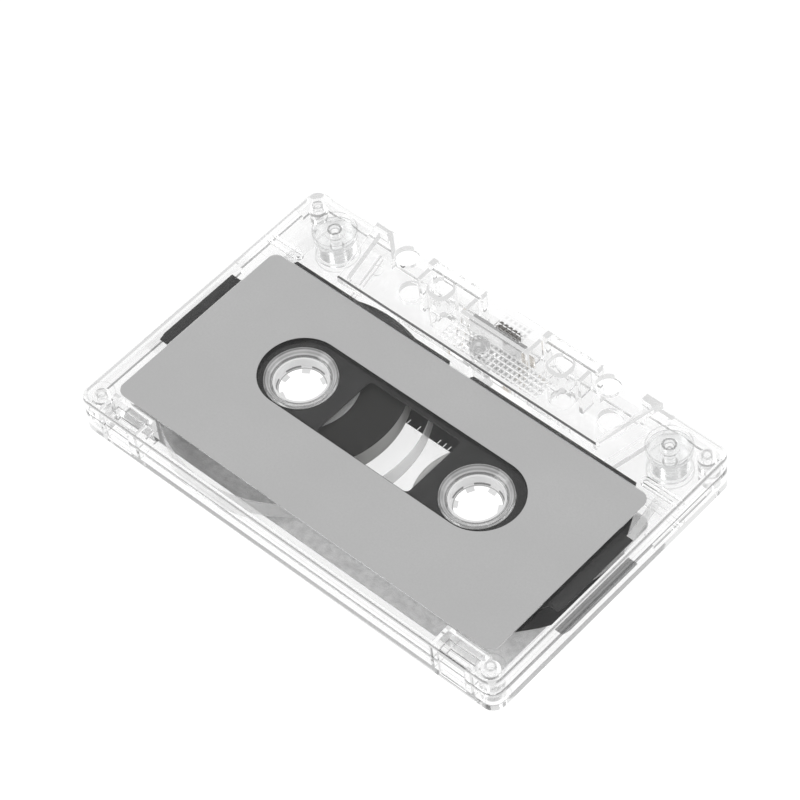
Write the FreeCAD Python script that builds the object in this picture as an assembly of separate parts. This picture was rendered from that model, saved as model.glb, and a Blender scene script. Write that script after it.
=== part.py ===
import FreeCAD, Part
import math
import os

from FreeCAD import Vector

# A compact audio cassette with a clear welded shell, seen with its full reel on the left.
# Frame: X along the length, +Y towards the head openings, +Z up, origin under the middle.
# All sizes are in millimetres. The seam of the shell lies at half the height of the head end.

# Outer case
case_length = 100.4
case_depth = 63.8
body_height = 8.7
head_height = 12.0
corner_radius = 2.5
edge_radius = 0.5
plate_thickness = 1.4
wall_thickness = 1.1

# Raised head end, a trapezoid in plan
head_depth = 14.6
head_side_slant = 3.2
head_end_margin = 3.8
head_edge_radius = 0.4
head_wall = 1.4

# Openings of the head end, as distances from the middle
centre_opening_half = 7.3
side_opening_start = 8.1
side_opening_end = 19.7
roller_opening_start = 20.5
roller_opening_end = 30.6
skirt_opening_height = 3.3
full_opening_height = 4.6

# Holes through both plates. From here on, names with _from_far, _from_near and _from_end are
# distances from the far edge, the near edge and the ends of the case.
hub_spacing = 42.5
hub_line_y = -3.2
hub_hole_radius = 5.5
hub_dish_radius = 7.0
hub_dish_depth = 1.15
hub_rib_width = 1.0
hub_rib_height = 0.7
capstan_hole_x = 24.25
capstan_hole_from_far = 3.0
capstan_hole_radius = 2.45
locating_hole_x = 14.4
locating_hole_from_far = 4.6
locating_hole_length = 4.2
locating_hole_width = 4.0
locating_hole_corner = 1.4
locating_sleeve_wall = 0.5

# Weld posts
post_from_edge = 3.2
post_from_end = 3.2
post_radius = 1.75
centre_post_from_far = 10.3
weld_pin_radius = 0.8
weld_pin_length = 1.6
weld_clearance = 0.05

# Small ribs and marks
inner_rib = 0.8
guide_rib_x = 19.3
guide_rib_from_far = 2.3
guide_rib_length = 3.0
pad_bay_from_far = 5.7
corner_rib_from_far = 13.9
corner_rib_from_end = 9.2
corner_rib_width = 1.9
corner_rib_wall = 0.45
corner_rib_height = 0.6
gate_mark_x = -26.3
gate_mark_from_far = 9.0
gate_mark_radius = 1.2
gate_mark_depth = 0.2

# Interlocking step of the seam on one side of each half
step_from_far = 5.4
step_length = 16.5
step_depth = 1.1
step_clearance = 0.05

# Write-protect tab and its pocket in the near wall
tab_from_end = 9.6
tab_width = 5.6
tab_half_height = 3.1
tab_gap = 0.3
tab_thickness = 0.7
pocket_from_end = 5.6
pocket_length = 8.4
pocket_depth = 4.5

# Labels
label_from_end = 4.8
label_from_near = 5.3
label_from_head = 1.9
label_corner = 2.0
label_thickness = 0.1
label_recess = 0.14
label_clearance = 0.1
label_opening_half_length = 29.9
label_opening_near_y = -10.7
label_opening_far_y = 5.6
label_opening_end_flat = 0.01

# Liners
liner_thickness = 0.15
liner_gap = 0.05
liner_from_head = 0.6
liner_from_end = 5.0
liner_from_near = 8.9
liner_far_corner_length = 4.3
liner_far_corner_depth = 8.7
liner_near_corner_length = 7.2
liner_near_corner_depth = 8.7
liner_tab_length = 3.2
liner_tab_slant = 1.0
liner_tab_corner = 0.8
liner_tab_far_y = 6.8
liner_tab_near_y = -12.7
liner_hole_radius = 6.9
liner_window_half = 11.0
liner_window_far_y = 4.3
liner_window_near_y = -10.2
liner_window_corner = 1.0
liner_notch_half = 2.0
liner_notch_flare = 0.9
liner_notch_depth = 1.4

# Hubs
hub_radius = 11.0
hub_flange_height = 3.9
hub_rim_wall = 1.5
hub_web_height = 2.2
hub_collar_clearance = 0.25
hub_collar_height = 6.4
hub_bore_radius = 4.85
hub_tooth_ring_radius = 4.35
tooth_count = 6
tooth_tip_radius = 3.55
tooth_width = 1.6
tooth_lead = 0.35
left_hub_turn = 4.0
right_hub_turn = 31.7

# Clips in the hubs
clamp_angle = 48.0
clamp_depth = 2.0
clamp_clearance = 0.05
clamp_seat_margin_angle = 12.0
left_clamp_turn = 200.0
right_clamp_turn = 100.0

# Tape and leader
tape_width = 3.81
pack_depth = 9.0
pack_clearance = 0.02
leader_turns_depth = 1.0
leader_thickness = 0.1
leader_gap = 0.06

# The slack leader at angles about the reels: round the full reel it takes up a share of the room
# to the near wall, and at the empty reel it stands off by millimetres
loose_turn = [(195, 0), (150, 0.04), (90, 0.16), (45, 0.45), (0, 0.79), (-35, 0.93), (-60, 0.97),
              (-90, 0.92), (-125, 0.855), (-160, 0.775), (-185, 0.66)]
loose_tail = [(24, 15.4), (0, 12.2), (-35, 6.2), (-75, 1.9), (-115, 0)]

# Guide rollers and their pins
roller_from_end = 9.8
roller_from_far = 5.6
roller_radius = 3.7
roller_flange_radius = 4.25
roller_flange_thickness = 0.45
roller_channel = 4.0
roller_pin_radius = 1.0
roller_bore_clearance = 0.06
roller_side_clearance = 0.1
roller_boss_radius = 1.9

# Pressure pad, its leaf spring and the shield
pad_length = 5.0
pad_height = 3.7
pad_thickness = 1.4
pad_gap = 0.08
spring_length = 15.1
spring_height = 3.1
spring_thickness = 0.15
spring_bow = 1.1
spring_flat_margin = 0.3
spring_foot_length = 1.6
spring_slot_clearance = 0.1
shield_length = 12.6
shield_height = 7.0
shield_thickness = 0.4
shield_wing = 1.3

# Derived values
end_x = case_length / 2
far_edge = case_depth / 2
near_edge = -case_depth / 2
mid_z = head_height / 2
half_body = body_height / 2
half_head = head_height / 2
ceiling = half_body - plate_thickness
head_ceiling = half_head - plate_thickness
inner_x = end_x - wall_thickness
inner_y = far_edge - wall_thickness
head_inner_y = far_edge - head_depth
head_outer_half = roller_opening_end + head_end_margin
head_inner_half = head_outer_half - head_side_slant
hub_x = hub_spacing / 2
capstan_hole_y = far_edge - capstan_hole_from_far
locating_hole_y = far_edge - locating_hole_from_far
post_x = end_x - post_from_end
post_y = far_edge - post_from_edge
centre_post_y = far_edge - centre_post_from_far
guide_rib_end_y = far_edge - guide_rib_from_far
guide_rib_start_y = guide_rib_end_y - guide_rib_length
pad_bay_back_y = far_edge - pad_bay_from_far
corner_rib_y = far_edge - corner_rib_from_far
corner_rib_inner_x = end_x - corner_rib_from_end
gate_mark_y = far_edge - gate_mark_from_far
step_end_y = far_edge - step_from_far
step_start_y = step_end_y - step_length
tab_centre_x = end_x - tab_from_end
pocket_end_x = end_x - pocket_from_end
pocket_start_x = pocket_end_x - pocket_length
pocket_back_y = near_edge + pocket_depth
label_half_length = end_x - label_from_end
label_near_y = near_edge + label_from_near
label_far_y = head_inner_y - label_from_head
liner_far_y = head_inner_y - liner_from_head
liner_near_y = near_edge + liner_from_near
liner_half_length = end_x - liner_from_end
roller_x = end_x - roller_from_end
roller_y = far_edge - roller_from_far
pack_radius = hub_radius + pack_depth
leader_turns_radius = hub_radius + leader_turns_depth
near_room = inner_y + hub_line_y - pack_radius
tape_line_y = roller_y + roller_radius + leader_gap + leader_thickness / 2


def box(x0, x1, y0, y1, z0, z1):
    """A block between two corners."""
    return Part.makeBox(x1 - x0, y1 - y0, z1 - z0, Vector(x0, y0, z0))


def cylinder(x, y, radius, z0, z1):
    """An upright round solid."""
    return Part.makeCylinder(radius, z1 - z0, Vector(x, y, z0))


def ring(x, y, inner, outer, z0, z1):
    """An upright tube."""
    return cylinder(x, y, outer, z0, z1).cut(cylinder(x, y, inner, z0, z1))


def prism(points, z0, z1):
    """A solid with straight sides over a plan outline."""
    loop = [Vector(x, y, z0) for x, y in points]
    face = Part.Face(Part.makePolygon(loop + loop[:1]))
    return face.extrude(Vector(0, 0, z1 - z0))


def upright_edges(solid):
    """The edges that run along Z."""
    return [e for e in solid.Edges if abs(e.Vertexes[0].X - e.Vertexes[-1].X) < 1e-6
            and abs(e.Vertexes[0].Y - e.Vertexes[-1].Y) < 1e-6
            and abs(e.Vertexes[0].Z - e.Vertexes[-1].Z) > 1e-6]


def rim_edges(solid, z):
    """The edges that lie at one height."""
    return [e for e in solid.Edges if e.BoundBox.ZMin > z - 1e-6 and e.BoundBox.ZMax < z + 1e-6]


def rounded_box(x0, x1, y0, y1, z0, z1, radius):
    """A block with rounded upright edges."""
    block = box(x0, x1, y0, y1, z0, z1)
    return block.makeFillet(radius, upright_edges(block))


def both_sides(make):
    """The same feature at both ends of the case."""
    return [make(-1), make(1)]


def head_outline(inset):
    """Plan of the head end, drawn in by the same distance on its sloping and inner sides."""
    far_y = case_depth / 2 - inset
    near_y = head_inner_y + inset
    slope = head_side_slant / head_depth
    side = inset * math.sqrt(1 + slope * slope)
    near_half = head_inner_half + slope * (near_y - head_inner_y) - side
    far_half = head_inner_half + slope * (far_y - head_inner_y) - side
    return [(-near_half, near_y), (near_half, near_y), (far_half, far_y), (-far_half, far_y)]


# A shell half is drawn with its seam at Z 0 and its plate above. The other half is the same
# moulding turned over about the Y axis.

def shell_outside():
    """The closed outer form of one half."""
    body = rounded_box(-case_length / 2, case_length / 2, -case_depth / 2, case_depth / 2,
                       0, half_body, corner_radius)
    body = body.makeFillet(edge_radius, rim_edges(body, half_body))
    head = prism(head_outline(0), 0, half_head)
    head = head.makeFillet(head_edge_radius, rim_edges(head, half_head))
    return body.fuse(head)


def shell_inside():
    """The hollow of one half, deeper under the head end."""
    inner_corner = corner_radius - wall_thickness
    room = rounded_box(-inner_x, inner_x, -inner_y, inner_y, 0, ceiling, inner_corner)
    return room.fuse(prism(head_outline(head_wall), 0, head_ceiling))


def seam_step(side, depth, clearance):
    """The part of a side wall that reaches over the seam."""
    outer = side * case_length / 2
    inner = side * inner_x
    return box(min(outer, inner), max(outer, inner), step_start_y + clearance,
               step_end_y - clearance, -depth, 0)


def head_openings():
    """What the far wall lacks, so that the heads and pinch rollers reach the tape."""
    y0 = inner_y - inner_rib
    y1 = case_depth / 2 + 1
    cuts = [box(-centre_opening_half, centre_opening_half, y0, y1, -1, full_opening_height)]
    for side in (-1, 1):
        spans = ((side_opening_start, side_opening_end, skirt_opening_height),
                 (roller_opening_start, roller_opening_end, full_opening_height))
        for start, end, height in spans:
            x0, x1 = sorted((side * start, side * end))
            cuts.append(box(x0, x1, y0, y1, -1, height))
    return cuts


def locating_hole(side, grow, z0, z1):
    """The rounded square that a locating pin enters."""
    x = side * locating_hole_x
    length = locating_hole_length / 2 + grow
    width = locating_hole_width / 2 + grow
    return rounded_box(x - length, x + length, locating_hole_y - width, locating_hole_y + width,
                       z0, z1, locating_hole_corner + grow)


def plate_holes():
    """Hub, capstan and locating holes through one plate."""
    cuts = []
    for side in (-1, 1):
        cuts.append(cylinder(side * hub_x, hub_line_y, hub_hole_radius, 0, half_body + 1))
        dish = Part.makeCone(hub_hole_radius, hub_dish_radius, hub_dish_depth,
                             Vector(side * hub_x, hub_line_y, half_body - hub_dish_depth))
        cuts.append(dish)
        cuts.append(cylinder(side * capstan_hole_x, capstan_hole_y, capstan_hole_radius,
                             0, half_head + 1))
        cuts.append(locating_hole(side, 0, -1, half_head + 1))
    return cuts


def label_bed():
    """The shallow recess that the label lies in."""
    return rounded_box(-label_half_length - label_clearance, label_half_length + label_clearance,
                       label_near_y - label_clearance, label_far_y + label_clearance,
                       half_body - label_recess, half_body + 1, label_corner + label_clearance)


def weld_posts():
    """The posts that join the halves, in the corners and behind the pad."""
    return weld_points(post_radius, 0, half_head)


def weld_points(radius, z0, z1):
    """A round form at the end of every post."""
    places = [(x, y) for x in (-post_x, post_x) for y in (-post_y, post_y)]
    places.append((0, centre_post_y))
    return [cylinder(x, y, radius, z0, z1) for x, y in places]


def head_ribs():
    """The walls that guide the tape and hold the pad and shield."""
    ribs = []
    for side in (-1, 1):
        sleeve = locating_hole(side, locating_sleeve_wall, 0, head_ceiling)
        ribs.append(sleeve.cut(locating_hole(side, 0, -1, head_ceiling + 1)))
        x = side * guide_rib_x
        ribs.append(box(x - inner_rib / 2, x + inner_rib / 2, guide_rib_start_y, guide_rib_end_y,
                        0, head_ceiling))
        x0, x1 = sorted((side * centre_opening_half, side * side_opening_start))
        ribs.append(box(x0, x1, pad_bay_back_y - inner_rib, guide_rib_end_y, 0, head_ceiling))
    bay_half = centre_opening_half
    ribs.append(box(-bay_half, bay_half, pad_bay_back_y - inner_rib, pad_bay_back_y,
                    0, head_ceiling))
    return ribs


def hub_ribs():
    """Rings under the plate that the hubs run against."""
    return [ring(side * hub_x, hub_line_y, hub_hole_radius, hub_hole_radius + hub_rib_width,
                 ceiling - hub_rib_height, ceiling) for side in (-1, 1)]


def corner_rib(side):
    """A low U-shaped rib between the liner's corner and the side wall."""
    half = corner_rib_width / 2
    z0 = ceiling - corner_rib_height
    centre = side * (corner_rib_inner_x + half)
    x0, x1 = sorted((centre, side * inner_x))

    def slot(reach):
        bar = box(x0, x1, corner_rib_y - reach, corner_rib_y + reach, z0, half_head)
        return bar.fuse(cylinder(centre, corner_rib_y, reach, z0, half_head))

    return slot(half).cut(slot(half - corner_rib_wall))


def roller_bosses():
    """Low seats that keep the guide rollers off the plates."""
    seat = roller_half_height() + roller_side_clearance
    return [cylinder(side * roller_x, roller_y, roller_boss_radius, seat, half_head)
            for side in (-1, 1)]


def roller_half_height():
    """Half of a guide roller's height."""
    return roller_channel / 2 + roller_flange_thickness


def pocket_walls(side):
    """The walls behind a write-protect opening."""
    x0, x1 = sorted((side * pocket_start_x, side * pocket_end_x))
    solid = box(x0 - inner_rib, x1 + inner_rib, -inner_y, pocket_back_y + inner_rib, 0, ceiling)
    return solid.cut(box(x0, x1, -inner_y - 1, pocket_back_y, -1, ceiling + 1))


def tab_opening(side):
    """The hole in the near wall that a write-protect tab covers."""
    half = tab_width / 2 + tab_gap
    x = side * tab_centre_x
    return box(x - half, x + half, -case_depth / 2 - 1, -inner_y + 0.5, -1, tab_half_height)


def tab():
    """The break-off tab of this half. It crosses the seam to cover the whole opening."""
    x = -tab_centre_x
    y0 = -case_depth / 2 + (wall_thickness - tab_thickness) / 2
    return box(x - tab_width / 2, x + tab_width / 2, y0, y0 + tab_thickness,
               -tab_half_height + tab_gap, tab_half_height)


def spring_slots():
    """Slots in the bay's side ribs for the ends of the leaf spring."""
    reach = spring_length / 2 + spring_slot_clearance
    y = spring_end_y()
    gap = spring_thickness / 2 + spring_slot_clearance
    return box(-reach, reach, y - gap, y + gap, -1, spring_height / 2 + spring_slot_clearance)


def shell_half():
    """One moulded half without its pins or sockets. What stands on the plate is drawn tall and
    then cut off at the outer surface."""
    outside = shell_outside()
    shell = outside.cut(shell_inside())
    adds = weld_posts() + head_ribs() + hub_ribs() + roller_bosses()
    adds += both_sides(corner_rib) + both_sides(pocket_walls)
    shell = shell.multiFuse(adds).common(outside)
    cuts = head_openings() + plate_holes() + both_sides(tab_opening)
    cuts += [label_bed(), spring_slots(), seam_notch()]
    shell = shell.cut(Part.makeCompound(cuts))
    return shell.multiFuse([seam_step(1, step_depth - step_clearance, step_clearance), tab()])


def seam_notch():
    """Room in the wall for the step of the other half."""
    notch = seam_step(-1, step_depth, 0)
    notch.translate(Vector(0, 0, step_depth))
    return notch


def turned_over(shape):
    """The lower half's place: turned about the Y axis."""
    return shape.rotated(Vector(0, 0, 0), Vector(0, 1, 0), 180)


def upper_shell():
    """The half with the sockets."""
    sockets = weld_points(weld_pin_radius + weld_clearance, -1, weld_pin_length + weld_clearance)
    for side in (-1, 1):
        sockets.append(cylinder(side * roller_x, roller_y, roller_pin_radius + weld_clearance,
                                0, ceiling + weld_pin_radius / 2))
    mark = cylinder(gate_mark_x, gate_mark_y, gate_mark_radius, half_head - gate_mark_depth,
                    half_head + 1)
    return shell_half().cut(Part.makeCompound(sockets + [mark]))


def lower_shell():
    """The half with the weld pins and the roller pins."""
    pins = weld_points(weld_pin_radius, -1, weld_pin_length)
    for side in (-1, 1):
        pins.append(cylinder(side * roller_x, roller_y, roller_pin_radius, -ceiling - 0.1, ceiling))
    return turned_over(shell_half()).multiFuse(pins)


def label():
    """A paper label with its long rounded opening."""
    z0 = half_body - label_recess
    z1 = z0 + label_thickness
    sheet = rounded_box(-label_half_length, label_half_length, label_near_y, label_far_y,
                        z0, z1, label_corner)
    end_radius = (label_opening_far_y - label_opening_near_y) / 2 - label_opening_end_flat
    hole = rounded_box(-label_opening_half_length, label_opening_half_length,
                       label_opening_near_y, label_opening_far_y, z0 - 1, z1 + 1,
                       end_radius)
    return sheet.cut(hole)


def liner():
    """A slip sheet with its window, hub holes and notches."""
    z1 = ceiling - liner_gap
    z0 = z1 - liner_thickness
    half = liner_half_length
    tab_half = half + liner_tab_length
    outline = [(half - liner_near_corner_length, liner_near_y),
               (half, liner_near_y + liner_near_corner_depth),
               (half + liner_tab_slant, liner_tab_near_y),
               (tab_half - liner_tab_corner / 2, liner_tab_near_y),
               (tab_half, liner_tab_near_y + liner_tab_corner * 2),
               (tab_half, liner_tab_far_y), (half + liner_tab_slant, liner_tab_far_y),
               (half, liner_far_y - liner_far_corner_depth),
               (half - liner_far_corner_length, liner_far_y)]
    mirrored = [(-x, y) for x, y in reversed(outline)]
    sheet = prism(outline + mirrored, z0, z1)
    cuts = [cylinder(side * hub_x, hub_line_y, liner_hole_radius, z0 - 1, z1 + 1)
            for side in (-1, 1)]
    cuts.append(rounded_box(-liner_window_half, liner_window_half, liner_window_near_y,
                            liner_window_far_y, z0 - 1, z1 + 1, liner_window_corner))
    notch_half = liner_notch_half + liner_notch_flare
    cuts.append(prism([(-liner_notch_half, liner_far_y - liner_notch_depth),
                       (liner_notch_half, liner_far_y - liner_notch_depth),
                       (notch_half, liner_far_y), (-notch_half, liner_far_y)], z0 - 1, z1 + 1))
    return sheet.cut(Part.makeCompound(cuts))


def hub(turn, clamp_turn):
    """A toothed hub about its own axis, at half height."""
    rim = ring(0, 0, hub_radius - hub_rim_wall, hub_radius,
               -hub_flange_height / 2, hub_flange_height / 2)
    web = ring(0, 0, hub_tooth_ring_radius, hub_radius - hub_rim_wall / 2,
               -hub_web_height / 2, hub_web_height / 2)
    collar_radius = hub_hole_radius - hub_collar_clearance
    collar = ring(0, 0, hub_bore_radius, collar_radius,
                  -hub_collar_height / 2, hub_collar_height / 2)
    clamp_seat_angle = clamp_angle + math.degrees(2 * clamp_clearance / hub_radius)
    depth = clamp_depth + clamp_clearance
    block_angle = clamp_angle + 2 * clamp_seat_margin_angle
    seat_block = sector(hub_radius - depth - hub_rim_wall / 2, hub_radius, block_angle,
                        -hub_flange_height / 2, hub_flange_height / 2)
    seat = sector(hub_radius - depth, hub_radius + 1, clamp_seat_angle,
                  -hub_flange_height, hub_flange_height)
    body = rim.multiFuse([web, collar, seat_block.rotated(Vector(), Vector(0, 0, 1), clamp_turn)])
    body = body.cut(seat.rotated(Vector(), Vector(0, 0, 1), clamp_turn))
    teeth = [tooth().rotated(Vector(), Vector(0, 0, 1), turn + k * 360 / tooth_count)
             for k in range(tooth_count)]
    return body.multiFuse(teeth)


def tooth():
    """One drive tooth, as high as the web, with lead-in slopes at both ends."""
    root = (hub_tooth_ring_radius + hub_bore_radius) / 2
    half = hub_web_height / 2
    profile = [Vector(root, -tooth_width / 2, -half),
               Vector(tooth_tip_radius, -tooth_width / 2, -half + tooth_lead),
               Vector(tooth_tip_radius, -tooth_width / 2, half - tooth_lead),
               Vector(root, -tooth_width / 2, half)]
    face = Part.Face(Part.makePolygon(profile + profile[:1]))
    return face.extrude(Vector(0, tooth_width, 0))


def sector(inner, outer, angle, z0, z1):
    """A piece of a tube, centred on +X."""
    half = math.radians(angle) / 2

    def at(radius, a):
        return Vector(radius * math.cos(a), radius * math.sin(a), z0)

    edges = [Part.Arc(at(outer, -half), at(outer, 0), at(outer, half)).toShape(),
             Part.makeLine(at(outer, half), at(inner, half)),
             Part.Arc(at(inner, half), at(inner, 0), at(inner, -half)).toShape(),
             Part.makeLine(at(inner, -half), at(outer, -half))]
    return Part.Face(Part.Wire(edges)).extrude(Vector(0, 0, z1 - z0))


def hub_clamp(turn):
    """The clip that pins the tape's end into the rim."""
    clip = sector(hub_radius - clamp_depth, hub_radius, clamp_angle,
                  -hub_flange_height / 2, hub_flange_height / 2)
    return clip.rotated(Vector(), Vector(0, 0, 1), turn)


def wound(outer):
    """Wound turns about a hub's axis."""
    return ring(0, 0, hub_radius + pack_clearance, outer, -tape_width / 2, tape_width / 2)


def guide_roller():
    """A flanged roller about its own axis."""
    half = roller_half_height()
    body = cylinder(0, 0, roller_radius, -half, half)
    for side in (-1, 1):
        z0, z1 = sorted((side * roller_channel / 2, side * half))
        body = body.fuse(cylinder(0, 0, roller_flange_radius, z0, z1))
    bore = cylinder(0, 0, roller_pin_radius + roller_bore_clearance, -half - 1, half + 1)
    return body.removeSplitter().cut(bore)


def spring_end_y():
    """Where the leaf spring's ends sit in their slots."""
    return pad_back_y() - spring_bow - spring_thickness / 2


def pad_back_y():
    """The back face of the felt pad."""
    return tape_line_y - leader_thickness / 2 - pad_gap - pad_thickness


def pad_spring():
    """A bowed leaf whose flat middle carries the pad."""
    end = spring_end_y()
    middle = pad_back_y() - spring_thickness / 2
    flat = pad_length / 2 + spring_flat_margin
    foot = spring_length / 2 - spring_foot_length
    line = [Vector(-spring_length / 2, end, 0), Vector(-foot, end, 0), Vector(-flat, middle, 0),
            Vector(flat, middle, 0), Vector(foot, end, 0), Vector(spring_length / 2, end, 0)]
    t = spring_thickness / 2
    front = [p + Vector(0, t, 0) for p in line]
    back = [p - Vector(0, t, 0) for p in reversed(line)]
    face = Part.Face(Part.makePolygon(front + back + front[:1]))
    leaf = face.extrude(Vector(0, 0, spring_height))
    leaf.translate(Vector(0, 0, -spring_height / 2))
    return leaf


def pressure_pad():
    """The felt block on the spring's middle."""
    return rounded_pad(pad_length, pad_thickness, pad_height)


def rounded_pad(length, thickness, height):
    """A block whose upright edges are softened."""
    y0 = pad_back_y()
    block = box(-length / 2, length / 2, y0, y0 + thickness, -height / 2, height / 2)
    front = [e for e in upright_edges(block) if e.Vertexes[0].Y > y0 + thickness / 2]
    return block.makeFillet(0.4, front)


def shield_plate():
    """A folded metal plate that stands against the back of the pad's bay."""
    y0 = pad_bay_back_y + spring_slot_clearance / 2
    half = shield_length / 2
    high = shield_height / 2
    t = shield_thickness
    plate = box(-half, half, y0, y0 + t, -high, high)
    wings = [box(-half, half, y0, y0 + shield_wing, high - t, high),
             box(-half, half, y0, y0 + shield_wing, -high, -high + t)]
    return plate.multiFuse(wings).removeSplitter()


# The leader is a thin strip that follows tangent arcs.

def heading(a):
    """A unit vector from an angle in degrees."""
    return Vector(math.cos(math.radians(a)), math.sin(math.radians(a)), 0)


def end_heading(p, t, q):
    """The direction in which an arc that leaves p along t reaches q."""
    chord = (q - p).normalize()
    return chord * (2 * chord.dot(t)) - t


def two_arcs(p, t, q, u):
    """The point where two tangent arcs from (p, t) to (q, u) meet."""
    v = q - p
    s = t + u
    k = 2 * (1 - t.dot(u))
    if abs(k) < 1e-9:
        d = v.dot(v) / (4 * v.dot(u))
    else:
        d = (-v.dot(s) + math.sqrt(v.dot(s) ** 2 + k * v.dot(v))) / k
    return (p + q + (t - u) * d) * 0.5


def spiral(centre, reel_radius, turns):
    """Stations of a clockwise spiral. It lies against the reel where its slack is 0."""
    radii = [reel_radius + leader_gap + leader_thickness / 2 + slack for _, slack in turns]
    angles = [angle for angle, _ in turns]
    stations = []
    last = len(turns) - 1
    for k, (angle, slack) in enumerate(turns):
        before, after = max(k - 1, 0), min(k + 1, last)
        growth = (radii[after] - radii[before]) / math.radians(angles[before] - angles[after])
        if slack == 0:
            growth = 0
        out = heading(angle)
        along = heading(angle - 90) * radii[k] + out * growth
        stations.append((centre + out * radii[k], along.normalize()))
    return stations


def leader_stations():
    """Places and directions of the leader from the full reel to the empty one."""
    slack_turn = [(angle, share * near_room) for angle, share in loose_turn]
    stations = spiral(Vector(-hub_x, hub_line_y, 0), pack_radius, slack_turn)
    wrap = roller_radius + leader_gap + leader_thickness / 2
    for x, angles in ((-roller_x, (180, 135, 90)), (roller_x, (90, 45, 0))):
        for angle in angles:
            place = Vector(x, roller_y, 0) + heading(angle) * wrap
            stations.append((place, heading(angle - 90)))
    return stations + spiral(Vector(hub_x, hub_line_y, 0), leader_turns_radius, loose_tail)


def strip(stations, thickness, z0, z1):
    """A thin upright strip along tangent arcs through the stations."""
    pieces = []
    for (p, t), (q, u) in zip(stations, stations[1:]):
        middle = two_arcs(p, t, q, u)
        pieces.append((p, t, middle))
        pieces.append((middle, end_heading(p, t, middle), q))
    sides = {1: [], -1: []}
    ends = {}
    for p, t, q in pieces:
        u = end_heading(p, t, q)
        for side in (1, -1):
            sides[side].append(offset_arc(p, t, q, u, side * thickness / 2))
    first, last = pieces[0], pieces[-1]
    ends[0] = (first[0], first[1])
    ends[1] = (last[2], end_heading(*last))
    caps = [Part.makeLine(beside(p, t, -thickness / 2), beside(p, t, thickness / 2))
            for p, t in ends.values()]
    wire = Part.Wire(Part.__sortEdges__(sides[1] + sides[-1] + caps))
    face = Part.Face(wire)
    solid = face.extrude(Vector(0, 0, z1 - z0))
    solid.translate(Vector(0, 0, z0))
    return solid


def beside(p, t, shift):
    """A point to the left of a direction."""
    return p + Vector(-t.y, t.x, 0) * shift


def offset_arc(p, t, q, u, shift):
    """One side of the strip over one arc."""
    a = beside(p, t, shift)
    b = beside(q, u, shift)
    turn = t.x * u.y - t.y * u.x
    if abs(turn) < 1e-7:
        return Part.makeLine(a, b)
    half = (t + u).normalize()
    chord = q - p
    sagitta = chord.Length / 2 * math.tan(math.atan2(turn, t.dot(u)) / 4)
    top = (p + q) * 0.5 + Vector(half.y, -half.x, 0) * sagitta
    return Part.Arc(a, beside(top, half, shift), b).toShape()


def placed(shape, x, y):
    """Moves a turned part to its axis."""
    return shape.translated(Vector(x, y, 0))


def build_nodes():
    """Every node at its place, about the seam."""
    left, right = -hub_x, hub_x
    y = hub_line_y
    return {
        "shell_half_a": upper_shell(),
        "shell_half_b": lower_shell(),
        "label_a": label(),
        "label_b": turned_over(label()),
        "liner_a": liner(),
        "liner_b": turned_over(liner()),
        "hub_left": placed(hub(left_hub_turn, left_clamp_turn), left, y),
        "hub_right": placed(hub(right_hub_turn, right_clamp_turn), right, y),
        "hub_clamp_left": placed(hub_clamp(left_clamp_turn), left, y),
        "hub_clamp_right": placed(hub_clamp(right_clamp_turn), right, y),
        "tape_pack_left": placed(wound(pack_radius), left, y),
        "leader_turns_right": placed(wound(leader_turns_radius), right, y),
        "leader_run": strip(leader_stations(), leader_thickness, -tape_width / 2, tape_width / 2),
        "guide_roller_left": placed(guide_roller(), -roller_x, roller_y),
        "guide_roller_right": placed(guide_roller(), roller_x, roller_y),
        "pressure_pad": pressure_pad(),
        "pad_spring": pad_spring(),
        "shield_plate": shield_plate(),
    }


os.makedirs("parts", exist_ok=True)
for name, shape in build_nodes().items():
    shape = shape.translated(Vector(0, 0, mid_z))
    if len(shape.Solids) == 1:
        shape = shape.Solids[0]
    print(name, len(shape.Solids), shape.isValid(), round(shape.Volume, 1))
    shape.exportStep("parts/" + name + ".step")
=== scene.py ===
import math
from collections import namedtuple

import bpy
from mathutils import Matrix, Vector


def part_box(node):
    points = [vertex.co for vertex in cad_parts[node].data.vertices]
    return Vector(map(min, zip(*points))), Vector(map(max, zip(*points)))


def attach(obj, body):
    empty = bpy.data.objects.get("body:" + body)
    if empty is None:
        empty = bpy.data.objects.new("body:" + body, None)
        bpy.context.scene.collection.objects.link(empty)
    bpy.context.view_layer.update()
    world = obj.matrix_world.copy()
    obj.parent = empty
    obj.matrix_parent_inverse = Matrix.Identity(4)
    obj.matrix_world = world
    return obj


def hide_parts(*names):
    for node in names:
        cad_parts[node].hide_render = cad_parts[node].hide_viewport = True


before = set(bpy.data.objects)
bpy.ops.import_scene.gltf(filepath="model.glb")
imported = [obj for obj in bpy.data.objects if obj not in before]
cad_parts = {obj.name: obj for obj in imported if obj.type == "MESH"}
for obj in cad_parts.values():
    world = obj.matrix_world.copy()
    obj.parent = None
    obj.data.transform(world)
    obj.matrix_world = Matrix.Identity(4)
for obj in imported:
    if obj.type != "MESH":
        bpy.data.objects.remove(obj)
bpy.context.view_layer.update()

MM = 0.001

# Camera, from the edges of the case in the photograph
CAMERA_AZIMUTH = 48.366
CAMERA_ELEVATION = 51.37
CAMERA_ROLL = -7.679
CAMERA_DISTANCE = 633.4 * MM
CAMERA_TARGET = Vector((-6.055, 6.266, 6.0)) * MM
FOCAL_PIXELS = 3511.3
FRAME_PIXELS = 800
SENSOR_WIDTH = 36.0

# How the case stands on the floor: on the raised end and the near bottom edge
LOW_EDGE_Y = 17.3 * MM
NEAR_EDGE_Y = -31.4 * MM
NEAR_EDGE_Z = 1.65 * MM
FLOOR_HALF = 3.0
FLOOR_DROP = 0.02 * MM

# The seam between the shell halves, and how far the two faces in it are drawn apart
SEAM_Z = 6.0 * MM
SEAM_GAP = 0.03 * MM
SEAM_TOLERANCE = 0.001 * MM

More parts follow.
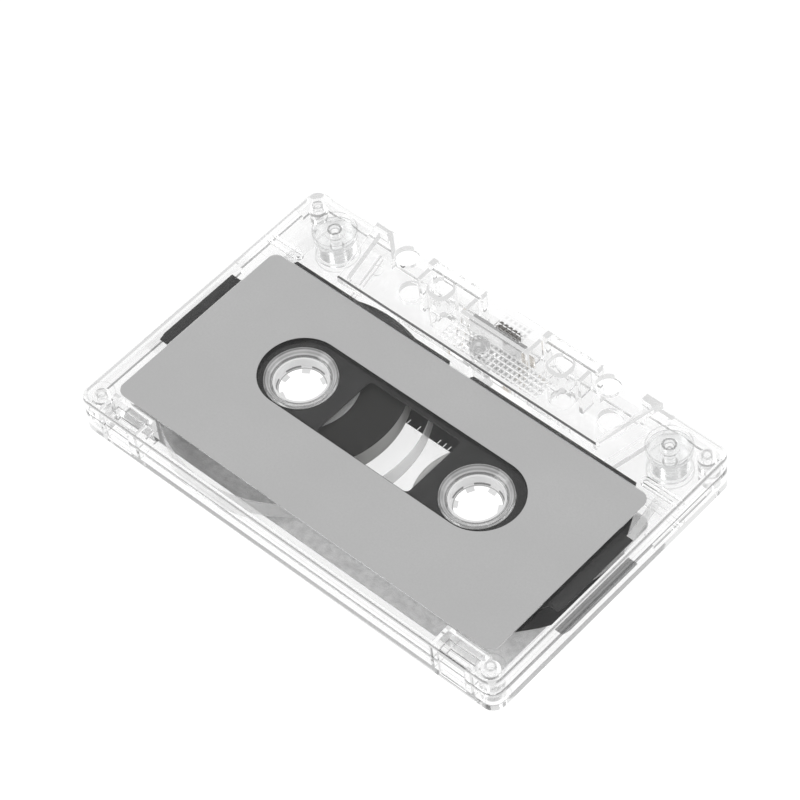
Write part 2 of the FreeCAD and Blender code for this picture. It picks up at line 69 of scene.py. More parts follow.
# Faces of the shell that take a finish of their own: the rounded inner edge of the head end, which
# takes painted shade, the step behind it and the dishes about the hubs. Heights are from the seam.
# A lean is the part of a face's direction along y, or for the dishes along z.
PLAIN, EDGE, STEP, DISH = range(4)
EDGE_Y = (17.2 * MM, 17.8 * MM)
EDGE_HEIGHT = 5.4 * MM
EDGE_LEAN = (0.3, 0.97)
STEP_Y = (18.5 * MM, 18.9 * MM)
STEP_HEIGHT = (2.8 * MM, 4.8 * MM)
STEP_LEAN = 0.9
DISH_RADIUS = (5.3 * MM, 7.1 * MM)
DISH_HEIGHT = 3.0 * MM
DISH_LEAN = (0.1, 0.97)

# Rings are given in mm: the radius, half the width and the share of light that is held back.
# Places and pairs of limits in a table are in mm too.
# Painted shade: dark rings on the dishes, for the dark lines that their steps show in clear plastic
DISH_SHADE_RINGS = ((6.62, 0.12, 0.5), (6.1, 0.15, 0.25), (5.6, 0.14, 0.5))

# Small pyramids moulded on the inner side of the upper head plate: their pitch, and the fields
# that they cover as x limits, y limits and slope. Painted shade darkens them, most about one place.
WAFFLE_PITCH_X = 1.07 * MM
WAFFLE_PITCH_Y = 1.12 * MM
WAFFLE_FIELDS = (((-7.6, 16.0), (17.6, 23.6), 0.3), ((-1.2, 5.4), (26.2, 30.4), 0.15))
WAFFLE_Z = (10.3, 10.9)
WAFFLE_DARK_X = 6.5 * MM
WAFFLE_DARK_REACH = 12.0 * MM
WAFFLE_DARK = 9000.0
WAFFLE_DARKEST = 0.8

# Dark rings painted in the shell at the rollers, the corner posts and the centre post: painted
# shade for the dark lines that edges show in the clear plastic. Place in plan, heights from the
# seam, and the rings. Each stands at the same place on both ends of the case.
PAINTED_RINGS = (
    ((40.4, 26.3), (4.2, 4.5), ((4.25, 0.13, 0.35), (1.2, 0.2, 0.7))),
    ((47.0, 28.7), (4.2, 4.5), ((0.9, 0.22, 0.35),)),
    ((47.0, -28.7), (4.2, 4.5), ((0.9, 0.22, 0.35), (2.6, 0.12, 0.2))),
    ((0.0, 21.4), (5.9, 6.1), ((1.25, 0.8, 0.5),)),
)

# Painted shade lines along the near and right walls, for the dark lines of their edges in the clear
# plastic: heights and share of light held back
NEAR_FACE_Y = -31.5 * MM
END_FACE_X = 49.8 * MM
WALL_SHADE_LINES = (((6.7, 7.1), 0.9), ((10.05, 10.3), 0.7))

# Hubs: their place, the angle of a tooth of each in degrees, and the painted shade lines of their
# edges. The painted shade dashes lie between the teeth. Under the web the bore is lit from the
# floor, and that light is painted on it as a glow.
HUB_PLACE = (21.25, -3.2)
HUB_TURNS = {"left": 4.0, "right": 31.7}
HUB_SHADE_RINGS = ((6.65, 0.1, 0.5), (5.45, 0.13, 0.55), (4.45, 0.1, 0.45))
HUB_SHADE_DASHES = ((4.78, 0.14, 0.6),)
DASH_TOP = 7.4 * MM
HALF_TOOTH_PITCH = 30
HALF_TOOTH = 12
TOOTH_RING = 4.3 * MM
TOOTH_SLOPE_Z = 6.66 * MM
RIM_START = 8.0 * MM
RIM_SHADE = 0.5
WEB_Z = (6.9 * MM, 7.0 * MM)
HUB_PAINTED_GLOW = (0.6, 0.1)
HUB_TONE = 0.72

# Light. Together the room and the lamps bring a level surface to about its own colour. What is
# seen or mirrored above the horizon fades from white to the ceiling, or to a darker tone inside
# clear plastic.
ROOM_LIGHT = 0.66
FLOOR_DIFFUSE = 0.12
FLOOR_GLOW = 1.0
CEILING_TONE = 0.3
INSIDE_TONE = 0.4
FADE_START = 0.25
FADE_END = 0.7
LAMPS = (
    ("key", (-0.75, -0.65, 0.95), (0.8, 0.8), 5.6),
    ("fill", (0.7, 0.75, 0.7), (0.7, 0.7), 3.3),
)

# Clear plastic: how often a ray is bent or mirrored before it ends in a painted white glow that
# stands for the room, and that glow's strength
PLASTIC_IOR = 1.57
LAST_REFRACTION = 9.5
LAST_MIRROR = 2.5
DEEP_PAINTED_GLOW = 0.78

# Painted light: a glow on the back of the lower label for the light that the floor sends through
# it:
# its strength, where it starts to fade towards -x, over what length, and what is left
PAPER_PAINTED_GLOW = 0.33
GLOW_X = -10.0 * MM
GLOW_FADE = 6.0 * MM
GLOW_LOW = 0.35

# White ticks of the tape scale on the lower liner, at the far edge of its window, with painted
# light as a glow on them
TICK_X = (-5.2, -2.75, -0.3, 4.6, 5.9, 7.05)
TICK_HALF = 0.11
TICK_Y = (4.3, 5.3)
TICK_TONE = 0.8
TICK_PAINTED_GLOW = 0.45

# The leader: its haze beside the reels and along the heads, where that changes, and where the
# strip is dark tape past the splice
HAZE_REEL = 0.45
HAZE_HEAD = 0.07
HAZE_Y = 14.0 * MM
HAZE_FADE = 6.0 * MM
SPLICED_X = (-34.0, -9.0)
SPLICED_Y = (12.0, 19.5)
SPLICED_TONE = 0.02

# Fine detail of the finishes: scale and detail of the noise, and strength and depth of the
# relief that it gives. The noise of the wound tape runs along the radius.
Grain = namedtuple("Grain", "scale detail strength depth")
FLOW = Grain(90.0, 2.0, 0.05, 0.2 * MM)
FROST = Grain(300.0, 3.0, 0.05, 0.1 * MM)
PAPER_FIBRES = Grain(2600.0, 5.0, 0.12, 0.04 * MM)
RUBBED_STREAKS = Grain(500.0, 3.0, 0.1, 0.05 * MM)
TAPE_TURNS = Grain(6000.0, 3.0, 0.15, 0.03 * MM)
FELT_FIBRES = Grain(3500.0, 6.0, 0.8, 0.15 * MM)
ROLLED_LINES = Grain(900.0, 4.0, 0.1, 0.03 * MM)

# Faces whose direction has less than this part along z count as upright
LEVEL_FACE = 0.5


def rgba(color):
    """An opaque colour, from red, green and blue or from one grey."""
    if isinstance(color, (int, float)):
        color = (color, color, color)
    return (*color, 1)


def new_material(name):
    """A material with an empty node tree."""
    mat = bpy.data.materials.new(name)
    mat.use_nodes = True
    mat.node_tree.nodes.clear()
    return mat, mat.node_tree


def surfaced(mat, shader):
    """The material with a shader on its surface."""
    out = mat.node_tree.nodes.new("ShaderNodeOutputMaterial")
    mat.node_tree.links.new(shader, out.inputs["Surface"])
    return mat


def principled(tree, color, roughness, **values):
    """A Principled shader with its plain values set on its own sockets."""
    node = tree.nodes.new("ShaderNodeBsdfPrincipled")
    node.inputs["Base Color"].default_value = rgba(color)
    node.inputs["Roughness"].default_value = roughness
    for key, value in values.items():
        node.inputs[key.replace("_", " ")].default_value = value
    return node


def see_through(tree, tone):
    """A shader that light crosses unbent."""
    gap = tree.nodes.new("ShaderNodeBsdfTransparent")
    gap.inputs["Color"].default_value = rgba(tone)
    return gap.outputs["BSDF"]


def mixed(tree, fac, first, second):
    """Two shaders mixed by a value."""
    mix = tree.nodes.new("ShaderNodeMixShader")
    tree.links.new(fac, mix.inputs["Fac"])
    tree.links.new(first, mix.inputs[1])
    tree.links.new(second, mix.inputs[2])
    return mix.outputs["Shader"]


def lamps_cross(tree, shader, tone):
    """A shader that lamps shine through, as they do through thin real walls."""
    path = tree.nodes.new("ShaderNodeLightPath")
    return mixed(tree, path.outputs["Is Shadow Ray"], shader, see_through(tree, tone))


def color_mix(tree, fac, first, second):
    """Two colours mixed by a value, each a socket or a plain colour."""
    mix = tree.nodes.new("ShaderNodeMixRGB")
    tree.links.new(fac, mix.inputs["Fac"])
    for name, value in (("Color1", first), ("Color2", second)):
        if isinstance(value, bpy.types.NodeSocket):
            tree.links.new(value, mix.inputs[name])
        else:
            mix.inputs[name].default_value = rgba(value)
    return mix.outputs["Color"]


def math_node(tree, operation, first, second=0.0):
    """A sum, limit or comparison of two values, each a socket or a number."""
    node = tree.nodes.new("ShaderNodeMath")
    node.operation = operation
    for socket, value in zip(node.inputs, (first, second)):
        if isinstance(value, (int, float)):
            socket.default_value = value
        else:
            tree.links.new(value, socket)
    return node.outputs["Value"]


def product(tree, first, *others):
    """Several values multiplied."""
    for other in others:
        first = math_node(tree, "MULTIPLY", first, other)
    return first


def largest(tree, first, *others):
    """The largest of several values."""
    for other in others:
        first = math_node(tree, "MAXIMUM", first, other)
    return first


def apart(tree, value, other):
    """How far two values are apart."""
    return math_node(tree, "ABSOLUTE", math_node(tree, "SUBTRACT", value, other))


def within(tree, value, limits):
    """1 where a value in metres lies between two limits in mm."""
    low, high = limits
    return product(tree, math_node(tree, "GREATER_THAN", value, low * MM),
                   math_node(tree, "LESS_THAN", value, high * MM))


def axes(tree, vector):
    """x, y and z of a vector."""
    split = tree.nodes.new("ShaderNodeSeparateXYZ")
    tree.links.new(vector, split.inputs["Vector"])
    return [split.outputs[axis] for axis in "XYZ"]


def object_axes(tree):
    """x, y and z of a point in its object's own coordinates."""
    return axes(tree, tree.nodes.new("ShaderNodeTexCoord").outputs["Object"])


def face_rise(tree):
    """z of the direction in which a face looks."""
    return axes(tree, tree.nodes.new("ShaderNodeNewGeometry").outputs["True Normal"])[2]


def object_noise(tree, scale, detail, stretch=(1, 1, 1)):
    """Noise in the object's own coordinates."""
    coords = tree.nodes.new("ShaderNodeTexCoord")
    mapping = tree.nodes.new("ShaderNodeMapping")
    mapping.inputs["Scale"].default_value = stretch
    noise = tree.nodes.new("ShaderNodeTexNoise")
    noise.inputs["Scale"].default_value = scale
    noise.inputs["Detail"].default_value = detail
    tree.links.new(coords.outputs["Object"], mapping.inputs["Vector"])
    tree.links.new(mapping.outputs["Vector"], noise.inputs["Vector"])
    return noise.outputs["Fac"]


def ramp(tree, source, low, high, start=0.0, end=1.0):
    """A colour that changes with a value from low at start to high at end."""
    node = tree.nodes.new("ShaderNodeValToRGB")
    ends = zip(node.color_ramp.elements, (start, end), (low, high))
    for element, position, color in ends:
        element.position = position
        element.color = rgba(color)
    tree.links.new(source, node.inputs["Fac"])
    return node.outputs["Color"]


def add_bump(tree, shader, height, grain):
    """A small relief on a shader."""
    bump = tree.nodes.new("ShaderNodeBump")
    bump.inputs["Strength"].default_value = grain.strength
    bump.inputs["Distance"].default_value = grain.depth
    tree.links.new(height, bump.inputs["Height"])
    tree.links.new(bump.outputs["Normal"], shader.inputs["Normal"])


def add_relief(tree, shader, height):
    """A relief whose height is given in metres, on top of the shader's own bump."""
    bump = tree.nodes.new("ShaderNodeBump")
    bump.inputs["Distance"].default_value = 1.0
    tree.links.new(height, bump.inputs["Height"])
    tree.links.new(shader.inputs["Normal"].links[0].from_socket, bump.inputs["Normal"])
    tree.links.new(bump.outputs["Normal"], shader.inputs["Normal"])


def grained(tree, shader, grain, stretch=(1, 1, 1)):
    """Gives a shader the relief of a grain, and returns the noise for its tones."""
    noise = object_noise(tree, grain.scale, grain.detail, stretch)
    add_bump(tree, shader, noise, grain)
    return noise


def add_painted_shade(tree, shader, color, light):
    """Paints shade into a shader's colour: darker where the given share of light is small."""
    tree.links.new(color_mix(tree, light, 0.0, color), shader.inputs["Base Color"])


def distance_from(tree, x, y, place):
    """Distance in plan from an axis that stands at the same place on both ends of the case."""
    across = math_node(tree, "SUBTRACT", math_node(tree, "ABSOLUTE", x), place[0] * MM)
    along = math_node(tree, "SUBTRACT", y, place[1] * MM)
    squares = math_node(tree, "ADD", product(tree, across, across), product(tree, along, along))
    return math_node(tree, "SQRT", squares)


def rings(tree, distance, lines):
    """Share of light that thin painted dark rings about an axis hold back."""
    held = 0.0
    for radius, half_width, share in lines:
        line = within(tree, distance, (radius - half_width, radius + half_width))
        held = largest(tree, product(tree, line, share), held)
    return held


def waffle(tree):
    """Height of the pyramids under the upper head plate."""
    x, y, z = object_axes(tree)
    across = math_node(tree, "PINGPONG", x, WAFFLE_PITCH_X / 2)
    along = math_node(tree, "PINGPONG", y, WAFFLE_PITCH_Y / 2)
    height = math_node(tree, "MINIMUM", across, along)
    cover = 0.0
    for x_limits, y_limits, slope in WAFFLE_FIELDS:
        field = product(tree, within(tree, x, x_limits), within(tree, y, y_limits), slope)
        cover = largest(tree, field, cover)
    return product(tree, height, cover, within(tree, z, WAFFLE_Z))


def painted_shell_shade(tree):
    """Light left by the painted shade of the shell: dark rings and lines for edges seen through the
    clear plastic, and darker pyramids.
    """
    x, y, z = object_axes(tree)
    height = apart(tree, z, SEAM_Z)
    held = 0.0
    for place, levels, lines in PAINTED_RINGS:
        ring = rings(tree, distance_from(tree, x, y, place), lines)
        held = largest(tree, held, product(tree, ring, within(tree, height, levels)))
    outside = largest(tree, math_node(tree, "LESS_THAN", y, NEAR_FACE_Y),
                      math_node(tree, "GREATER_THAN", x, END_FACE_X))
    for levels, share in WALL_SHADE_LINES:
        held = largest(tree, held, product(tree, within(tree, z, levels), share, outside))
    # Painted shade: the pyramids are darker about one place
    away = math_node(tree, "DIVIDE", apart(tree, x, WAFFLE_DARK_X), WAFFLE_DARK_REACH)
    near = largest(tree, math_node(tree, "SUBTRACT", 1.0, away), 0.0)
    dots = product(tree, waffle(tree), near, WAFFLE_DARK)
    held = largest(tree, held, math_node(tree, "MINIMUM", dots, WAFFLE_DARKEST))
    return math_node(tree, "SUBTRACT", 1.0, held)


def clear_plastic(name, tint, roughness, relief=None, light=None):
    """Clear moulded plastic.

    A ray that has been thrown about inside for long ends in a painted white glow that stands for
    the room.
    """
    mat, tree = new_material(name)
    glass = principled(tree, tint, roughness, IOR=PLASTIC_IOR, Transmission_Weight=1.0)
    grained(tree, glass, FLOW)
    if relief:
        add_relief(tree, glass, relief(tree))
    if light:
        # Painted shade in the plastic's colour, where a light share is given
        add_painted_shade(tree, glass, tint, light(tree))
    # Painted light: a white glow for rays that went deep
    room = tree.nodes.new("ShaderNodeEmission")
    room.inputs["Strength"].default_value = DEEP_PAINTED_GLOW
    mat.cycles.emission_sampling = "NONE"
    path = tree.nodes.new("ShaderNodeLightPath")
    mirrored = math_node(tree, "GREATER_THAN", path.outputs["Glossy Depth"], LAST_MIRROR)
    refracted = math_node(tree, "GREATER_THAN", path.outputs["Ray Depth"], LAST_REFRACTION)
    deep = largest(tree, mirrored, refracted)
    seen = mixed(tree, deep, glass.outputs["BSDF"], room.outputs["Emission"])
    return surfaced(mat, lamps_cross(tree, seen, tone=0.98))


def dish_plastic(name, color, roughness, clear):
    """The dishes about the hubs: translucent, with painted shade in dark rings at their steps."""
    mat, tree = new_material(name)
    shader = principled(tree, color, roughness, IOR=1.5, Transmission_Weight=clear)
    grained(tree, shader, FROST)
    x, y = object_axes(tree)[:2]
    lines = rings(tree, distance_from(tree, x, y, HUB_PLACE), DISH_SHADE_RINGS)
    add_painted_shade(tree, shader, color, math_node(tree, "SUBTRACT", 1.0, lines))
    return surfaced(mat, lamps_cross(tree, shader.outputs["BSDF"], tone=0.75))


def hub_plastic(name, side, turn):
    """Translucent white plastic of a hub, with painted shade in dark lines at its edges, between
    its teeth and over its outer rim.

    Its painted glow under the web, for the light from the floor, leaves out the teeth.
    """
    mat, tree = new_material(name)
    shader = principled(tree, HUB_TONE, roughness=0.22, IOR=1.5)
    grained(tree, shader, FROST)
    x, y, z = object_axes(tree)
    radius = distance_from(tree, x, y, HUB_PLACE)

    angle = math_node(tree, "ARCTAN2", math_node(tree, "SUBTRACT", y, HUB_PLACE[1] * MM),
                      math_node(tree, "SUBTRACT", x, side * HUB_PLACE[0] * MM))
    turned = math_node(tree, "SUBTRACT", angle, math.radians(turn))
    from_tooth = math_node(tree, "PINGPONG", turned, math.radians(HALF_TOOTH_PITCH))
    between = math_node(tree, "GREATER_THAN", from_tooth, math.radians(HALF_TOOTH))
    # Painted shade: dark dashes between the teeth, dark rings at the edges and a darker rim
    dashes = product(tree, rings(tree, radius, HUB_SHADE_DASHES), between,
                     math_node(tree, "LESS_THAN", z, DASH_TOP))
    lines = largest(tree, rings(tree, radius, HUB_SHADE_RINGS), dashes)
    on_top = math_node(tree, "GREATER_THAN", z, WEB_Z[1])
    rim = product(tree, math_node(tree, "GREATER_THAN", radius, RIM_START), RIM_SHADE)
    held = largest(tree, product(tree, lines, on_top), rim)
    light = math_node(tree, "SUBTRACT", 1.0, held)
    add_painted_shade(tree, shader, HUB_TONE, light)

    # Painted light: the bore under the web glows for the light that the floor sends in
    tooth = product(tree, math_node(tree, "LESS_THAN", radius, TOOTH_RING),
                    math_node(tree, "GREATER_THAN", z, TOOTH_SLOPE_Z))
    glow = tree.nodes.new("ShaderNodeMapRange")
    sockets = ("From Min", "From Max", "To Min", "To Max")
    for socket, value in zip(sockets, WEB_Z + HUB_PAINTED_GLOW):
        glow.inputs[socket].default_value = value
    tree.links.new(math_node(tree, "ADD", z, tooth), glow.inputs["Value"])
    shader.inputs["Emission Color"].default_value = rgba(1.0)
    tree.links.new(product(tree, glow.outputs["Result"], light),
                   shader.inputs["Emission Strength"])
    mat.cycles.emission_sampling = "NONE"
    return surfaced(mat, lamps_cross(tree, shader.outputs["BSDF"], tone=0.8))


def paper(name, side, painted_glow):
    """Matt grey label paper with faint fibres, and a paler, blotched back where it is glued.

    The back of the lower label also has painted light, a glow for the light that the floor sends
    through the paper.
    """
    mat, tree = new_material(name)
    shader = principled(tree, 0.49, roughness=0.62, Specular_IOR_Level=0.3)
    fibres = grained(tree, shader, PAPER_FIBRES)
    cloud = object_noise(tree, scale=60.0, detail=2.0)
    blotches = object_noise(tree, scale=900.0, detail=6.0)
    face = ramp(tree, product(tree, fibres, cloud), 0.47, 0.51, start=0.1, end=0.5)
    back = ramp(tree, blotches, 0.7, 0.85, start=0.3, end=0.6)
    outwards = product(tree, face_rise(tree), float(side))
    glued = math_node(tree, "LESS_THAN", outwards, -LEVEL_FACE)
    tree.links.new(color_mix(tree, glued, face, back), shader.inputs["Base Color"])
    # Painted light: the glow of the floor's light through the back of the lower label
    if painted_glow:
        tree.links.new(back, shader.inputs["Emission Color"])
        from_fade = math_node(tree, "SUBTRACT", object_axes(tree)[0], GLOW_X)
        part = ramp(tree, math_node(tree, "DIVIDE", from_fade, GLOW_FADE), GLOW_LOW, 1.0)
        tree.links.new(product(tree, glued, painted_glow, part),
                       shader.inputs["Emission Strength"])
    return surfaced(mat, shader.outputs["BSDF"])


def liner_film():
    """Dark graphite-coated film, satin, with faint rubbed streaks and the ticks of its scale, which
    have a painted glow.
    """
    mat, tree = new_material("liner_film")
    shader = principled(tree, 0.04, roughness=0.5, Specular_IOR_Level=0.22)
    streaks = grained(tree, shader, RUBBED_STREAKS, stretch=(1, 0.15, 1))
    tone = ramp(tree, streaks, 0.03, 0.045, start=0.3, end=0.7)
    x, y, z = object_axes(tree)
    ticks = 0.0
    for place in TICK_X:
        tick = within(tree, x, (place - TICK_HALF, place + TICK_HALF))
        ticks = largest(tree, tick, ticks)
    ticks = product(tree, ticks, within(tree, y, TICK_Y),
                    math_node(tree, "LESS_THAN", z, SEAM_Z))
    tree.links.new(color_mix(tree, ticks, tone, TICK_TONE), shader.inputs["Base Color"])
    # Painted light: the ticks glow
    shader.inputs["Emission Color"].default_value = rgba(TICK_TONE)
    tree.links.new(product(tree, ticks, TICK_PAINTED_GLOW), shader.inputs["Emission Strength"])
    return surfaced(mat, shader.outputs["BSDF"])


def wound_tape(name, low, high, outer, roughness, centre, clear=0.0):
    """The side of wound tape, with fine rings about the reel's axis, and its outermost turn."""
    mat, tree = new_material(name)
    shader = principled(tree, low, roughness, Transmission_Weight=clear, Specular_IOR_Level=0.2)
    coords = tree.nodes.new("ShaderNodeTexCoord")
    in_plan = tree.nodes.new("ShaderNodeMapping")
    in_plan.inputs["Location"].default_value = (-centre.x, -centre.y, 0)
    in_plan.inputs["Scale"].default_value = (1, 1, 0)
    radius = tree.nodes.new("ShaderNodeVectorMath")
    radius.operation = "LENGTH"
    turns = tree.nodes.new("ShaderNodeTexNoise")
    turns.noise_dimensions = "1D"
    turns.inputs["Scale"].default_value = 1.0
    turns.inputs["Detail"].default_value = TAPE_TURNS.detail
    tree.links.new(coords.outputs["Object"], in_plan.inputs["Vector"])
    tree.links.new(in_plan.outputs["Vector"], radius.inputs[0])
    tree.links.new(product(tree, radius.outputs["Value"], TAPE_TURNS.scale), turns.inputs["W"])
    add_bump(tree, shader, turns.outputs["Fac"], TAPE_TURNS)
    tone = ramp(tree, turns.outputs["Fac"], low, high, start=0.35, end=0.65)
    upright = math_node(tree, "LESS_THAN", math_node(tree, "ABSOLUTE", face_rise(tree)), LEVEL_FACE)
    tree.links.new(color_mix(tree, upright, tone, outer), shader.inputs["Base Color"])
    return surfaced(mat, shader.outputs["BSDF"])


def leader_film():
    """Clear leader film. It is milkier where it was wound than along the head openings.

    Past the splice the strip is dark tape. That part shows beyond the liner at the full reel.
    """
    mat, tree = new_material("leader_film")
    film = principled(tree, 0.85, roughness=0.25)
    cloud = object_noise(tree, scale=120.0, detail=2.0)
    tone = ramp(tree, cloud, 0.82, 0.9, start=0.3, end=0.7)
    x, y = object_axes(tree)[:2]
    spliced = product(tree, within(tree, x, SPLICED_X), within(tree, y, SPLICED_Y))
    tree.links.new(color_mix(tree, spliced, tone, SPLICED_TONE), film.inputs["Base Color"])
    place = math_node(tree, "DIVIDE", math_node(tree, "SUBTRACT", y, HAZE_Y), HAZE_FADE)
    haze = ramp(tree, place, HAZE_REEL, HAZE_HEAD)
    tree.links.new(largest(tree, haze, spliced), film.inputs["Alpha"])
    return surfaced(mat, film.outputs["BSDF"])


def felt():
    """Dense dark felt of the pressure pad."""
    mat, tree = new_material("pad_felt")
    shader = principled(tree, (0.17, 0.16, 0.15), roughness=0.95, Sheen_Weight=0.4)
    fibres = grained(tree, shader, FELT_FIBRES)
    tone = ramp(tree, fibres, (0.10, 0.095, 0.09), (0.24, 0.225, 0.21), start=0.3, end=0.7)
    tree.links.new(tone, shader.inputs["Base Color"])
    return surfaced(mat, shader.outputs["BSDF"])


def rolled_metal(name, low, high, roughness):
    """Rolled sheet or strip with fine lines along its length."""
    mat, tree = new_material(name)
    shader = principled(tree, low, roughness, Metallic=1.0)
    lines = grained(tree, shader, ROLLED_LINES, stretch=(0.05, 1, 3))
    tree.links.new(ramp(tree, lines, low, high, start=0.3, end=0.7), shader.inputs["Base Color"])
    return surfaced(mat, shader.outputs["BSDF"])


def painted_dark_edge():
    """A rounded edge in painted shade: dark and opaque, for the dark of the film below it that it
    shows.
    """
    mat, tree = new_material("shell_edge_painted_shade")
    return surfaced(mat, principled(tree, 0.1, roughness=0.1, IOR=PLASTIC_IOR).outputs["BSDF"])


def open_step():
    """The step under the head plate, which the light crosses unbent."""
    mat, tree = new_material("shell_step")
    return surfaced(mat, see_through(tree, tone=0.96))


def give(mat, *nodes):
    """Puts one material on CAD nodes."""
    for name in nodes:
        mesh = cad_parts[name].data
        mesh.materials.clear()
        mesh.materials.append(mat)


def new_piece(name, mesh, mat, body):
    """A piece of the scene on a body, with one material."""
    piece = bpy.data.objects.new(name, mesh)
    bpy.context.scene.collection.objects.link(piece)
    mesh.materials.clear()
    mesh.materials.append(mat)
    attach(piece, body)
    return piece


def shell_copy(node, side, mat, face_mats):
    """A shell half whose seam face stands off the other half, so that light sees both."""
    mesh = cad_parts[node].data.copy()
    mesh.name = node + "_clear"
    for vert in mesh.vertices:
        if abs(vert.co.z - SEAM_Z) < SEAM_TOLERANCE:
            vert.co.z += side * SEAM_GAP / 2
    piece = new_piece(node + "_clear", mesh, mat, "shell")
    for face_mat in face_mats:
        mesh.materials.append(face_mat)
    for face in mesh.polygons:
        face.material_index = face_kind(face.center, face.normal, side)
    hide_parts(node)


def face_kind(centre, normal, side):
    """Which material a face of the shell takes."""
    height = (centre.z - SEAM_Z) * side
    if (EDGE_Y[0] < centre.y < EDGE_Y[1] and height > EDGE_HEIGHT
            and EDGE_LEAN[0] < abs(normal.y) < EDGE_LEAN[1]):
        return EDGE
    if (STEP_Y[0] < centre.y < STEP_Y[1] and STEP_HEIGHT[0] < height < STEP_HEIGHT[1]
            and normal.y > STEP_LEAN):
        return STEP
    from_hub = math.hypot(abs(centre.x) - HUB_PLACE[0] * MM, centre.y - HUB_PLACE[1] * MM)
    if (DISH_RADIUS[0] < from_hub < DISH_RADIUS[1] and height > DISH_HEIGHT
            and DISH_LEAN[0] < abs(normal.z) < DISH_LEAN[1]):
        return DISH
    return PLAIN


def dress_shell():
    """The clear shell halves. The finishes of single faces come in the order of face_kind."""
    mat = clear_plastic("shell_plastic", 0.975, roughness=0.02, relief=waffle,
                        light=painted_shell_shade)
    face_mats = (painted_dark_edge(), open_step(),
                 dish_plastic("shell_dish", 0.84, roughness=0.1, clear=0.6))
    shell_copy("shell_half_a", 1, mat, face_mats)
    shell_copy("shell_half_b", -1, mat, face_mats)


def dress_nodes():
    """The finish of every other CAD node."""
    give(hub_plastic("hub_plastic_left", -1, HUB_TURNS["left"]), "hub_left")
    give(hub_plastic("hub_plastic_right", 1, HUB_TURNS["right"]), "hub_right")
    give(clear_plastic("clamp_plastic", (0.93, 0.935, 0.935), roughness=0.12),
         "hub_clamp_left", "hub_clamp_right")
    give(clear_plastic("roller_plastic", (0.96, 0.965, 0.965), roughness=0.15),
         "guide_roller_left", "guide_roller_right")
    give(paper("label_paper_upper", 1, painted_glow=0), "label_a")
    give(paper("label_paper_lower", -1, painted_glow=PAPER_PAINTED_GLOW), "label_b")
    give(liner_film(), "liner_a", "liner_b")
    low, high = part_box("tape_pack_left")
    give(wound_tape("tape_side", low=(0.016, 0.016, 0.015), high=(0.026, 0.025, 0.024),
                    outer=(0.42, 0.42, 0.41), roughness=0.5, centre=(low + high) / 2),
         "tape_pack_left")
    low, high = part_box("leader_turns_right")
    give(wound_tape("leader_side", low=(0.55, 0.55, 0.54), high=(0.75, 0.75, 0.74),
                    outer=(0.75, 0.75, 0.74), roughness=0.35, centre=(low + high) / 2, clear=0.3),
         "leader_turns_right")
    give(leader_film(), "leader_run")
    give(felt(), "pressure_pad")
    give(rolled_metal("spring_bronze", (0.72, 0.66, 0.58), (0.84, 0.78, 0.7), roughness=0.25),
         "pad_spring")
    give(rolled_metal("shield_metal", 0.82, 0.93, roughness=0.12), "shield_plate")


def seen_straight(tree):
    """1 for camera, glossy and transmission rays, 0 for the rays that light things."""
    path = tree.nodes.new("ShaderNodeLightPath")
    kinds = ("Is Camera Ray", "Is Glossy Ray", "Is Transmission Ray")
    return largest(tree, *(path.outputs[kind] for kind in kinds))


def floor_material():
    """A white floor that keeps a soft shadow and shows white behind clear plastic."""
    mat, tree = new_material("floor")
    diffuse = tree.nodes.new("ShaderNodeBsdfDiffuse")
    diffuse.inputs["Color"].default_value = rgba(FLOOR_DIFFUSE)
    glow = tree.nodes.new("ShaderNodeEmission")
    glow.inputs["Color"].default_value = rgba(1.0)
    tree.links.new(product(tree, seen_straight(tree), FLOOR_GLOW), glow.inputs["Strength"])
    both = tree.nodes.new("ShaderNodeAddShader")
    tree.links.new(diffuse.outputs["BSDF"], both.inputs[0])
    tree.links.new(glow.outputs["Emission"], both.inputs[1])
    return surfaced(mat, both.outputs["Shader"])


def make_floor():
    """A wide plane that touches the case where the real one rests."""
    mesh = bpy.data.meshes.new("floor")
    half = FLOOR_HALF
    mesh.from_pydata([(-half, -half, 0), (half, -half, 0), (half, half, 0), (-half, half, 0)],
                     [], [(0, 1, 2, 3)])
    floor = bpy.data.objects.new("floor", mesh)
    bpy.context.scene.collection.objects.link(floor)
    slope = -NEAR_EDGE_Z / (LOW_EDGE_Y - NEAR_EDGE_Y)
    floor.location = (0, LOW_EDGE_Y, -FLOOR_DROP)
    floor.rotation_euler = (math.atan(slope), 0, 0)
    mesh.materials.append(floor_material())


def area_lamp(name, place, size, power):
    """A soft square lamp that faces the object."""
    data = bpy.data.lights.new(name, "AREA")
    data.shape = "RECTANGLE"
    data.size, data.size_y = size
    data.energy = power
    lamp = bpy.data.objects.new(name, data)
    bpy.context.scene.collection.objects.link(lamp)
    lamp.location = place
    lamp.rotation_euler = Vector(place).to_track_quat("Z", "Y").to_euler()


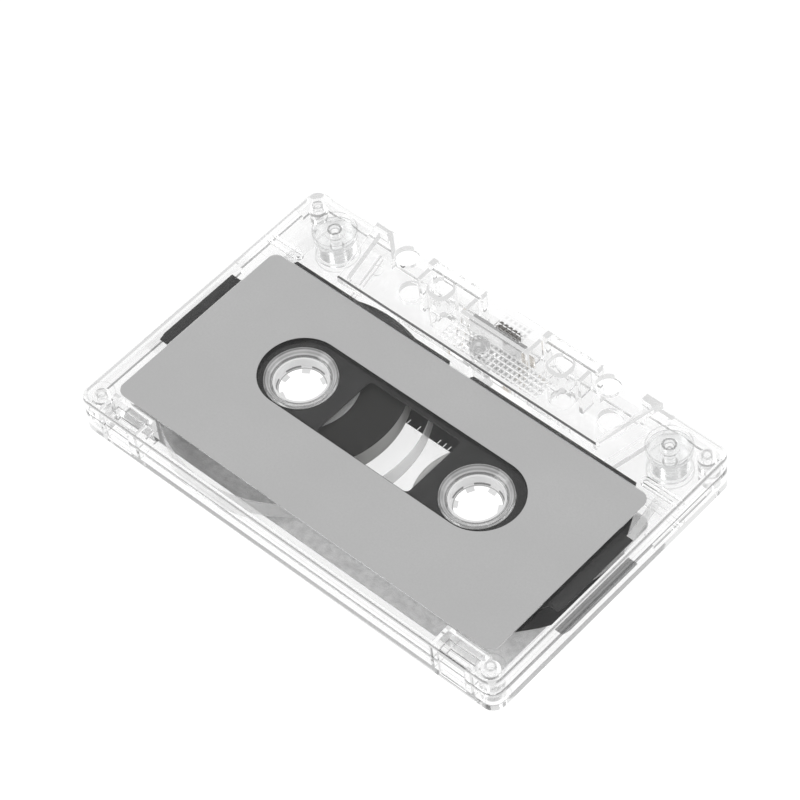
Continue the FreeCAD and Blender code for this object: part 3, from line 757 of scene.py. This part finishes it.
def make_world():
    """Even studio light. What is seen or mirrored fades from white at the horizon to grey above."""
    world = bpy.data.worlds.new("studio")
    world.use_nodes = True
    tree = world.node_tree
    tree.nodes.clear()
    room = tree.nodes.new("ShaderNodeBackground")
    room.inputs["Color"].default_value = rgba(1.0)
    room.inputs["Strength"].default_value = ROOM_LIGHT
    up = axes(tree, tree.nodes.new("ShaderNodeTexCoord").outputs["Generated"])[2]
    outside = ramp(tree, up, 1.0, CEILING_TONE, FADE_START, FADE_END)
    inside = ramp(tree, up, 1.0, INSIDE_TONE, FADE_START, FADE_END)
    path = tree.nodes.new("ShaderNodeLightPath")
    through = math_node(tree, "GREATER_THAN", path.outputs["Transmission Depth"], 0.5)
    seen = tree.nodes.new("ShaderNodeBackground")
    tree.links.new(color_mix(tree, through, outside, inside), seen.inputs["Color"])
    sky = mixed(tree, seen_straight(tree), room.outputs["Background"],
                seen.outputs["Background"])
    out = tree.nodes.new("ShaderNodeOutputWorld")
    tree.links.new(sky, out.inputs["Surface"])
    bpy.context.scene.world = world


def make_camera():
    """The photograph's view."""
    azimuth = math.radians(CAMERA_AZIMUTH)
    elevation = math.radians(CAMERA_ELEVATION)
    roll = math.radians(CAMERA_ROLL)
    back = Vector((math.sin(azimuth) * math.cos(elevation),
                   -math.cos(azimuth) * math.cos(elevation), math.sin(elevation)))
    right = Vector((0, 0, 1)).cross(back).normalized()
    up = back.cross(right)
    right, up = (math.cos(roll) * right + math.sin(roll) * up,
                 -math.sin(roll) * right + math.cos(roll) * up)
    data = bpy.data.cameras.new("camera")
    data.sensor_width = SENSOR_WIDTH
    data.lens = FOCAL_PIXELS * SENSOR_WIDTH / FRAME_PIXELS
    camera = bpy.data.objects.new("camera", data)
    bpy.context.scene.collection.objects.link(camera)
    turn = Matrix((right, up, back)).transposed().to_4x4()
    camera.matrix_world = Matrix.Translation(CAMERA_TARGET + back * CAMERA_DISTANCE) @ turn
    bpy.context.scene.camera = camera


dress_shell()
dress_nodes()
make_floor()
make_world()
make_camera()
for lamp_values in LAMPS:
    area_lamp(*lamp_values)
bpy.context.scene.view_settings.view_transform = "Standard"
